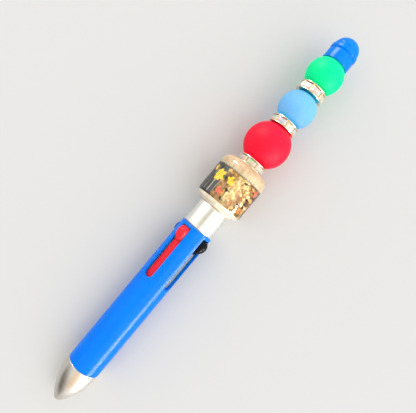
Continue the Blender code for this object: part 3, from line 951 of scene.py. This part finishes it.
def build_rondelle(number):
    """A metal spool, eight cut stones between its flanges and a prong between each two."""
    name = "rondelle_%d" % number
    front, rear, reach = span(name + "_band")
    flange = 0.36 * MM
    prong_depth = 0.36 * MM
    hub = 2.3 * MM
    shape = turned([
        (front, BEAD_BORE, 0.1 * MM),
        (front, reach, 0.16 * MM),
        (front + flange, reach, 0.14 * MM),
        (front + flange, hub, 0.1 * MM),
        (rear - flange, hub, 0.1 * MM),
        (rear - flange, reach, 0.14 * MM),
        (rear, reach, 0.16 * MM),
        (rear, BEAD_BORE, 0.1 * MM),
    ], 128)
    add_piece(name + "_spool", shape, "band", name, replaces=name + "_band")
    stones = sorted(n for n in frame["nodes"] if n.startswith(name + "_stone_"))
    turns = []
    for node in stones:
        points = pen_points(node)
        centre = sum(points, Vector()) / len(points)
        turn = -math.atan2(centre.y, centre.z)
        turns.append(turn)
        low, high = turned_span(node, turn)
        add_piece(node + "_cut", stone_shape(low, high), "crystal", name, turn,
                  5.0, replaces=node)
    half_step = math.pi / len(stones)
    prongs = bmesh.new()
    for turn in turns:
        prong = prong_shape(front + flange, rear - flange)
        offset_shape(prong, 0, reach - prong_depth)
        merge(prongs, turn_shape(prong, turn + half_step))
    add_piece(name + "_prongs", prongs, "prong", name)


# ---------------------------------------------------------------- the resin bead

def build_resin_bead():
    """The clear bead: a two-step chamfer in front and a round shoulder behind."""
    front, rear, reach = span("resin_bead")
    corners = [
        (front, BEAD_BORE, 0.1 * MM),
        (front, 5.15 * MM, 0.3 * MM),
        (front + 1.2 * MM, 7.3 * MM, 0.7 * MM),
        (front + 2.4 * MM, reach, 0.6 * MM),
        (rear - RESIN_SHOULDER, reach),
    ]
    for angle in run(0.05, math.pi / 2, 18):
        corners.append((
            rear - RESIN_SHOULDER + RESIN_SHOULDER * math.sin(angle),
            reach - RESIN_SHOULDER + RESIN_SHOULDER * math.cos(angle),
        ))
    corners += [(rear, BEAD_BORE, 0.1 * MM)]
    shape = turned(corners, 160)
    add_piece("resin_bead_cast", shape, "resin", "resin_bead", replaces="resin_bead")


def add_cast(name, shape, material, sharp=32.0):
    """A piece cast into the resin bead."""
    add_piece(name, shape, material, "resin_bead", sharp=sharp)


def build_resin_core():
    """The opaque ends and the sleeve round the bore, cast into the clear resin."""
    front, rear, reach = span("resin_bead")
    plug = turned([
        (front + 0.45 * MM, SLEEVE_REACH),
        (front + 0.45 * MM, 4.8 * MM, 0.3 * MM),
        (front + 1.5 * MM, 6.8 * MM, 0.5 * MM),
        (front + 2.3 * MM, 7.3 * MM, 0.1 * MM),
        (front + 2.3 * MM, SLEEVE_REACH),
    ], 96)
    add_cast("resin_front_end", plug, "pearl")
    start = rear - 3.9 * MM
    depth = 0.7 * MM
    end_depth = 0.6 * MM
    wire = 0.09 * MM
    corners = [(start, SLEEVE_REACH), (start, reach - depth, 0.12 * MM)]
    rings = bmesh.new()
    for i, angle in enumerate(run(-0.3, 1.3, 24)):
        x = rear - RESIN_SHOULDER + (RESIN_SHOULDER - end_depth) * math.sin(angle)
        r = reach - RESIN_SHOULDER + (RESIN_SHOULDER - depth) * math.cos(max(0.0, angle))
        corners.append((x, r))
        if i % 6 == 3:
            merge(rings, lathe([
                (x + wire * math.sin(a), r + wire * math.cos(a))
                for a in run(0, 2 * math.pi * 7 / 8, 7)
            ], 96))
    corners += [(rear - end_depth, 4.6 * MM, 0.2 * MM), (rear - end_depth, SLEEVE_REACH)]
    add_cast("resin_rear_end", turned(corners, 96), "cream")
    add_cast("resin_rear_rings", rings, "copper_foil")
    inset = 0.3 * MM
    tube = turned([
        (front + inset, SLEEVE_BORE),
        (front + inset, SLEEVE_REACH, 0.08 * MM),
        (rear - inset, SLEEVE_REACH, 0.08 * MM),
        (rear - inset, SLEEVE_BORE),
    ], 64)
    add_cast("resin_core_sleeve", tube, "pale_gold")


def curved_sheet(start, stop, front, rear, radius, thickness, rumple=0.0, holes=0.0, seed=0):
    """A thin closed sheet curved round the axis between two angles from +Z towards +Y.

    `rumple` is how far noise lifts it and `holes` the share of it that is torn away.
    """
    steps = max(4, int(abs(stop - start) / 2.5))
    rows = 26
    shape = bmesh.new()
    offset = Vector((seed * 7.3, seed * 1.9, 0))
    verts = []
    for i in range(rows + 1):
        x = front + (rear - front) * i / rows
        row = []
        for k in range(steps + 1):
            angle = math.radians(start + (stop - start) * k / steps)
            spot = Vector((x, radius * math.sin(angle), radius * math.cos(angle)))
            lift = rumple * noise.fractal(spot * 900 + offset, 0.9, 2.1, 3)
            out = Vector((0, math.sin(angle), math.cos(angle)))
            row.append(shape.verts.new(spot + out * lift))
        verts.append(row)
    for i in range(rows):
        for k in range(steps):
            if noise.noise(verts[i][k].co * 520 + offset * 2) > 1 - 2 * holes:
                continue
            shape.faces.new((verts[i][k], verts[i][k + 1], verts[i + 1][k + 1], verts[i + 1][k]))
    loose = [v for v in shape.verts if not v.link_faces]
    bmesh.ops.delete(shape, geom=loose, context="VERTS")
    bmesh.ops.solidify(shape, geom=shape.faces, thickness=thickness)
    bmesh.ops.recalc_face_normals(shape, faces=shape.faces)
    return shape


def flake(shape, place, size, draw):
    """Adds one crumpled flake, a thin closed patch with a ragged edge, to a bmesh."""
    count = draw.randint(6, 10)
    turn = Matrix.Rotation(draw.uniform(0, 2 * math.pi), 3, "X")
    turn = turn @ Matrix.Rotation(draw.uniform(-1.2, 1.2), 3, "Y")
    turn = turn @ Matrix.Rotation(draw.uniform(0, 2 * math.pi), 3, "Z")
    long = draw.uniform(1.0, 1.7)
    rim = []
    for k in range(count):
        angle = 2 * math.pi * k / count
        r = size / 2 * draw.uniform(0.55, 1.1)
        lift = size * draw.uniform(-0.12, 0.12)
        rim.append(Vector((r * math.cos(angle) * long, r * math.sin(angle), lift)))
    half = Vector((0, 0, 0.012 * MM))
    peak = Vector((0, 0, size * draw.uniform(-0.15, 0.15)))
    top = [shape.verts.new(place + turn @ (p + half)) for p in rim]
    low = [shape.verts.new(place + turn @ (p - half)) for p in rim]
    tip_top = shape.verts.new(place + turn @ (peak + half))
    tip_low = shape.verts.new(place + turn @ (peak - half))
    for k in range(count):
        following = (k + 1) % count
        shape.faces.new((top[k], top[following], tip_top))
        shape.faces.new((low[following], low[k], tip_low))
        shape.faces.new((top[following], top[k], low[k], low[following]))


def scattered_flakes(name, material, count, sizes, seed, arc):
    """Flakes throughout the clear middle of the resin bead, in an arc round it."""
    front, rear, reach = span("resin_bead")
    draw = random.Random(seed)
    shape = bmesh.new()
    for _ in range(count):
        x = draw.uniform(front + 3.2 * MM, rear - 4.6 * MM)
        distance = draw.uniform(5.2 * MM, reach - 1.2 * MM)
        angle = math.radians(draw.uniform(*arc))
        place = Vector((x, distance * math.sin(angle), distance * math.cos(angle)))
        flake(shape, place, draw.uniform(*sizes), draw)
    bmesh.ops.recalc_face_normals(shape, faces=shape.faces)
    add_cast(name, shape, material, 25.0)


def add_petal(shape, root, direction, normal, length, width, cup):
    """Adds one petal: a thin closed leaf that starts at `root` and curls towards `normal`."""
    along = direction.normalized()
    side = along.cross(normal).normalized()
    steps = 7
    rows = []
    for i in range(steps + 1):
        t = i / steps
        half = width / 2 * math.sin(math.pi * (0.08 + 0.84 * t)) ** 0.8
        lift = cup * math.sin(math.pi * t * 0.6)
        centre = root + along * length * t + normal * lift
        row = []
        for s in (-1, -0.5, 0, 0.5, 1):
            row.append(centre + side * half * s + normal * cup * 0.5 * s * s)
        rows.append(row)
    thin = normal * 0.03 * MM
    top = [[shape.verts.new(p + thin) for p in row] for row in rows]
    low = [[shape.verts.new(p - thin) for p in row] for row in rows]
    last = len(rows[0]) - 1
    for i in range(steps):
        for k in range(last):
            shape.faces.new((top[i][k], top[i + 1][k], top[i + 1][k + 1], top[i][k + 1]))
            shape.faces.new((low[i][k], low[i][k + 1], low[i + 1][k + 1], low[i + 1][k]))
        shape.faces.new((top[i][0], low[i][0], low[i + 1][0], top[i + 1][0]))
        shape.faces.new((top[i][last], top[i + 1][last], low[i + 1][last], low[i][last]))
    for row_top, row_low in ((top[0], low[0]), (top[-1], low[-1])):
        for k in range(last):
            shape.faces.new((row_top[k], row_top[k + 1], row_low[k + 1], row_low[k]))


def flower(shape, x, distance, angle, petals, length, seed):
    """Adds a small dried flower facing out of the bead at a place round it."""
    draw = random.Random(seed)
    out = Vector((0, math.sin(angle), math.cos(angle)))
    centre = Vector((x, 0, 0)) + out * distance
    for k in range(petals):
        turn = Matrix.Rotation(2 * math.pi * k / petals + draw.uniform(-0.2, 0.2), 3, out)
        direction = turn @ Vector((1, 0, 0))
        size = length * draw.uniform(0.6, 1.25)
        add_petal(shape, centre + direction * 0.15 * MM, direction, out, size, length * 0.7,
                  draw.uniform(0.1, 0.3) * MM)


def add_flowers(name, material, flowers):
    """Flowers given as (place, depth under the surface, degrees, petals, petal length)."""
    front, _, reach = span("resin_bead")
    shape = bmesh.new()
    for seed, (place, depth, degrees, petals, length) in enumerate(flowers):
        flower(shape, front + place * MM, reach - depth * MM, math.radians(degrees), petals,
               length * MM, seed)
    bmesh.ops.recalc_face_normals(shape, faces=shape.faces)
    add_cast(name, shape, material, 60.0)


def build_resin_filling():
    """What is cast into the resin: leaf metal, dried flowers and leaf bits, and near-black films that are painted
    shade.
    """
    front, rear, reach = span("resin_bead")
    clear = (front + 2.75 * MM, rear - 4.05 * MM)
    leaves = ((-198, -20, "gold_foil", 0.15), (-20, 8, "pale_foil", 0.0), (8, 36, "gold_foil", 0.1))
    for number, (start, stop, material, holes) in enumerate(leaves, 1):
        leaf = curved_sheet(start, stop, *clear, LEAF_REACH, 0.03 * MM, 0.6 * MM, holes, number)
        add_cast("resin_gold_leaf_%d" % number, leaf, material, 20.0)
    # Near-black films under the surface are painted shade, standing for the dark bands that refraction shows
    # through the clear resin.
    for name, start, stop in (("upper", 33, 88), ("lower", -104, -78), ("under", 140, 165)):
        film = curved_sheet(start, stop, *clear, reach - 1.0 * MM, 0.05 * MM, 0.06 * MM)
        add_cast("resin_smoky_film_" + name, film, "painted_shade_film")
    fibres = bmesh.new()
    for degrees, share in ((33, 1.0), (45, 0.8), (47, 0.5), (60, 0.9), (-84, 0.8), (3, 0.9),
                           (-4, 1.0), (-13, 0.7), (-24, 1.0), (-41, 0.8), (17, 0.6)):
        length = (clear[1] - clear[0]) * share
        fibre = rounded_bar(clear[0], clear[0] + length, 0.06 * MM, reach - 0.9 * MM,
                            reach - 0.78 * MM, 0.05 * MM)
        merge(fibres, turn_shape(fibre, -math.radians(degrees)))
    add_cast("resin_fibres", fibres, "fibre")
    for name, material, count, sizes, seed, arc in (
        ("resin_gold_flakes", "gold_foil", 60, (0.9, 2.6), 11, (-200, -26)),
        ("resin_gold_flakes_2", "gold_foil", 16, (0.6, 1.9), 12, (6, 34)),
        ("resin_copper_flakes", "copper_foil", 30, (0.6, 2.0), 23, (-200, -20)),
        ("resin_leaf_bits", "leaf", 24, (0.5, 1.5), 37, (-190, -26)),
        ("resin_leaf_bits_2", "leaf", 7, (0.4, 1.3), 41, (2, 34)),
    ):
        scattered_flakes(name, material, count, [size * MM for size in sizes], seed, arc)
    add_flowers("resin_yellow_flowers", "yellow_petal", (
        (8.9, 0.75, 43, 7, 1.75),
        (10.4, 0.7, 66, 5, 0.8),
        (9.2, 1.6, 12, 5, 1.2),
        (5.0, 0.8, 165, 6, 1.7),
        (9.5, 0.8, -128, 6, 1.6),
    ))
    add_flowers("resin_orange_petals", "orange_petal", ((3.9, 0.8, -48, 7, 0.8),))
    add_flowers("resin_red_petals", "red_petal", (
        (4.9, 0.8, 20, 5, 1.1),
        (11.3, 0.9, -60, 4, 1.1),
        (8.0, 0.8, 112, 5, 1.4),
        (8.4, 0.8, -160, 5, 1.3),
    ))


# ---------------------------------------------------------------- stage, light and camera

def build_stage():
    mesh = bpy.data.meshes.new("floor")
    shape = bmesh.new()
    bmesh.ops.create_grid(shape, x_segments=2, y_segments=2, size=2.0)
    shape.to_mesh(mesh)
    shape.free()
    paint = Paint("floor_pale", (0.6, 0.615, 0.625), 0.85, Specular_IOR_Level=0.1)
    mesh.materials.append(paint.material)
    floor = add_object("floor", mesh)


def add_area_light(name, place, target, size, energy):
    """A lamp seen only in reflections, in pen coordinates, millimetres, aimed at the pen axis."""
    lamp = bpy.data.lights.new(name, "AREA")
    lamp.shape = "RECTANGLE"
    lamp.size = size[0] * MM
    lamp.size_y = size[1] * MM
    lamp.energy = energy
    thing = add_object(name, lamp)
    here = PEN @ (Vector(place) * MM)
    there = PEN @ (Vector(target) * MM)
    thing.location = here
    thing.rotation_euler = (there - here).to_track_quat("-Z", "Y").to_euler()
    thing.visible_diffuse = False


def build_light():
    """A soft studio: white, brighter on one side, beige overhead, a peach patch, a dim corner."""
    world = bpy.data.worlds.new("studio")
    bpy.context.scene.world = world
    sky = Wiring(world)
    heading = sky.node("TexCoord", "Generated", {})

    def lobe(direction, start, stop, low, high):
        """A value that goes from low to high as a sky direction nears `direction`."""
        inputs = {0: heading, 1: Vector(direction).normalized()}
        facing = sky.node("VectorMath", "Value", inputs, operation="DOT_PRODUCT")
        return sky.ranged(facing, low, high, start, stop)

    white = (1.0, 1.0, 1.0)
    colour = sky.ramp(sky.node("SeparateXYZ", "Z", {"Vector": heading}), (
        (0.0, white),
        (0.87, white),
        (0.95, (0.72, 0.68, 0.62)),
        (1.0, (0.5, 0.48, 0.38)),
    ))
    peach = lobe((-0.65, -0.19, 0.73), 0.88, 0.97, 0.0, 1.0)
    dimmed = lobe((-0.86, 0.5, 0.0), 0.7, 0.92, 1.0, 0.08)
    bright = lobe((0.0, -0.6, 0.8), 0.8, 0.96, 1.0, 2.0)
    background = sky.nodes["Background"]
    background.inputs["Strength"].default_value = 1.3
    sky.feed(background.inputs["Color"], sky.node("VectorMath", "Vector", {
        0: sky.tinted(colour, (1.0, 0.74, 0.52), peach),
        "Scale": sky.pair("MULTIPLY", dimmed, bright),
    }, operation="SCALE"))
    add_area_light("strip_light", (-100, -400, 130), (75, 0, 0), (410, 160), 4.9)
    add_area_light("window_light", (362, 403, 197), (140, 0, 0), (190, 230), 3.4)


def build_camera():
    """A camera over the pen, looking square at its axis, turned as the pen lies in the frame."""
    camera = bpy.data.cameras.new("camera")
    camera.sensor_width = 36.0
    camera.lens = 34.6
    camera.clip_start = 0.005
    camera.clip_end = 10.0
    thing = add_object("camera", camera)
    lean = math.radians(50.2)
    right = Vector((math.cos(lean), -math.sin(lean), 0))
    above = Vector((math.sin(lean), math.cos(lean), 0))
    matrix = Matrix((right, above, Vector((0, 0, 1)))).transposed().to_4x4()
    matrix.translation = Vector((75.9, 1.92, 125.0)) * MM
    thing.matrix_world = PEN @ matrix
    bpy.context.scene.camera = thing
    bpy.context.scene.view_settings.view_transform = "Standard"


build_nose_cone()
build_barrel()
for colour in COLOURS:
    build_slider(colour)
    build_refill(colour)
    build_spring(colour)
keep_cad_nodes()
build_collar()
build_bead_rod()
build_resin_bead()
build_resin_core()
build_resin_filling()
for number in (1, 2, 3):
    build_rondelle(number)
for colour in ("red", "light_blue", "green"):
    build_silicone_bead("bead_" + colour)
build_end_cap()
build_stage()
build_light()
build_camera()
